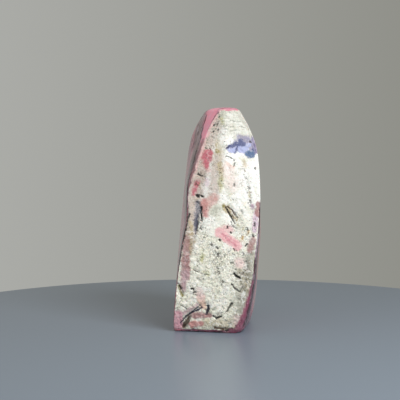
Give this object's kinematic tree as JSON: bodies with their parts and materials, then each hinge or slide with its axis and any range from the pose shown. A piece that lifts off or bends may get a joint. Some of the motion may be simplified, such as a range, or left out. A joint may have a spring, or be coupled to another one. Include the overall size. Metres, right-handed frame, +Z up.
{
  "type": "pink opal",
  "caption": "Tall standing slab of pink opal with a flat foot, a rounded crown and back, polished broad sides and one narrow face of pale speckled host rock.",
  "frame": {"origin": "middle of the bounding box of the stone, at the level of its flat foot", "axes": "+Z up, -Y out of the narrow pale face, +X to the right of someone who looks at that face"},
  "size_m": [0.0468, 0.082, 0.115],
  "materials": {
    "pink_opal": "polished opal on the sides, crown and back; satin pale host rock on the narrow front face"
  },
  "bodies": {
    "root": {"pink_opal": "pink_opal"}
  },
  "joints": []
}
